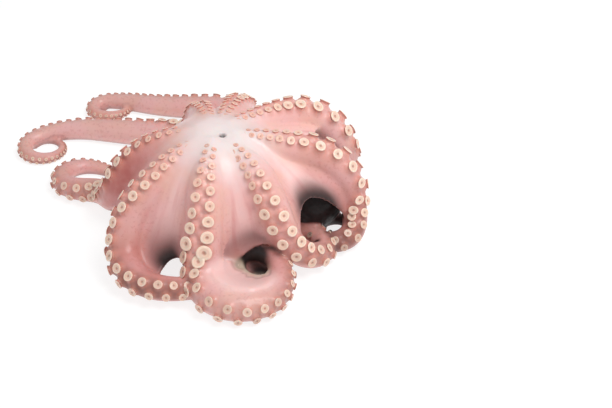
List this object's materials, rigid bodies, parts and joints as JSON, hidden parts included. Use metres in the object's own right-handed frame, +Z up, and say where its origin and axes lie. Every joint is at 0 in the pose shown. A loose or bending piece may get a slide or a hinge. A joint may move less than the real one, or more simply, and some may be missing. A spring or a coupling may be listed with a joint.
{
  "type": "whole octopus",
  "caption": "Whole raw octopus lying mouth up, its webbed crown of arms falling over the head and mantle and running out over the floor to curled tips, with rows of suckers.",
  "frame": {"origin": "on the floor under the mouth, on the flat that the mantle rests on", "axes": "+Z up, out of the mouth; -Y towards the viewer of the picture; +X to the viewer's right"},
  "size_m": [0.3231, 0.3382, 0.0986],
  "materials": {
    "flesh": "wet, glossy, slightly see-through flesh, pale at the mouth and dusky in the folds"
  },
  "bodies": {
    "root": {"octopus": "flesh"}
  },
  "joints": []
}
